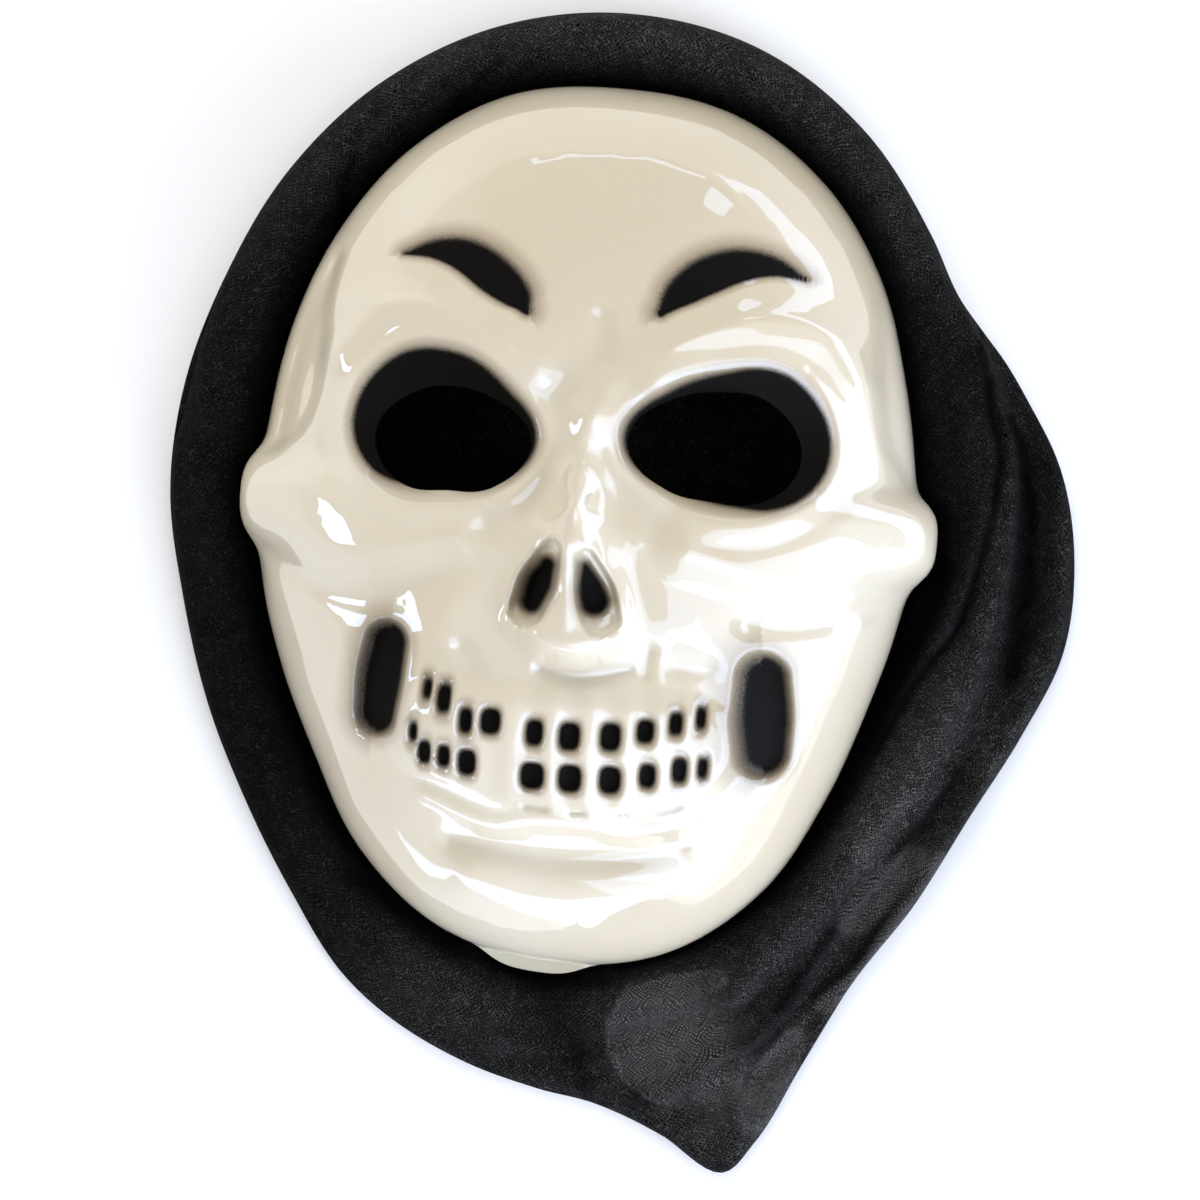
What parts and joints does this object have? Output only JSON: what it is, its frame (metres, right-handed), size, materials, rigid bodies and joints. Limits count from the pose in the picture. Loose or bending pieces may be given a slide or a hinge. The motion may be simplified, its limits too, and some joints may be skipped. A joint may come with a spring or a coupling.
{
  "type": "skull mask with hood",
  "caption": "Rigid plastic skull face with cut eye holes, relief brows, nose and teeth, and a black sheer cloth hood glued round its rim, lying on its back.",
  "frame": {"origin": "middle of the bounding box, at the underside of the hood's back layer, which lies on the surface", "axes": "+Z out of the face, away from the surface it lies on; +Y from chin to forehead; +X to the viewer's right"},
  "size_m": [0.2604, 0.3286, 0.091],
  "materials": {
    "ivory_plastic": "glossy vacuum-formed ivory plastic with black airbrushed brows, sockets, nose pits, tooth gaps and cheek hollows",
    "black_cloth": "matt black sheer woven polyester"
  },
  "bodies": {
    "root": {"mask_shell": "ivory_plastic", "hood": "black_cloth"}
  },
  "joints": []
}
